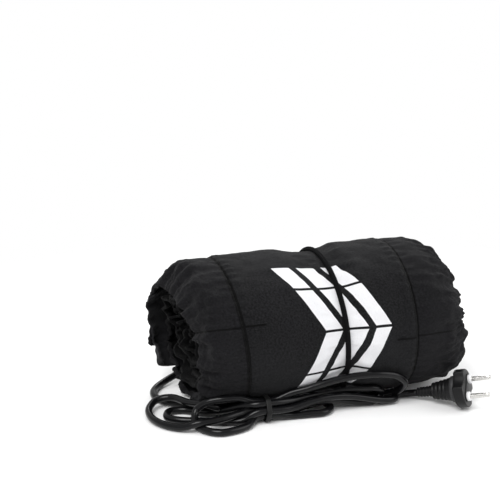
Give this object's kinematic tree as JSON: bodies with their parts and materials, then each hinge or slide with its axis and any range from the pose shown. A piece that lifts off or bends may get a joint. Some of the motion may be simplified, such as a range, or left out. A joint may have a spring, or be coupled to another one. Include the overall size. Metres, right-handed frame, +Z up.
{
  "type": "motorcycle tire warmer",
  "caption": "Padded electric tire warmer for a motorcycle front wheel, rolled up with gathered skirts, an elastic cord round it and its mains lead folded into a tied hank with a two-pin plug",
  "frame": {"origin": "on the floor under the middle of the rolled mat and its skirts, measured without the lead, its tie and its plug", "axes": "+X along the roll from its open left mouth to its right end, +Y away from the front, +Z up"},
  "size_m": [0.336, 0.1881, 0.1501],
  "materials": {
    "tread_fabric": "woven polyester, matt",
    "skirt_fabric": "woven polyester, matt",
    "flap_pile": "hook-and-loop pile",
    "elastic": "braided",
    "lead_jacket": "satin",
    "tie_plastic": "matt",
    "plug_rubber": "satin",
    "bridge_plastic": "satin",
    "pin_nickel": "nickel plated"
  },
  "bodies": {
    "root": {"tread_mat": "tread_fabric", "left_skirt": "skirt_fabric", "right_skirt": "skirt_fabric", "left_closing_flap": "flap_pile", "right_closing_flap": "flap_pile", "retaining_cord": "elastic", "lead_gland": "lead_jacket", "mains_lead": "lead_jacket", "hank_tie": "tie_plastic", "plug_body": "plug_rubber", "pin_bridge": "bridge_plastic", "pin_upper": "pin_nickel", "pin_lower": "pin_nickel"}
  },
  "joints": []
}
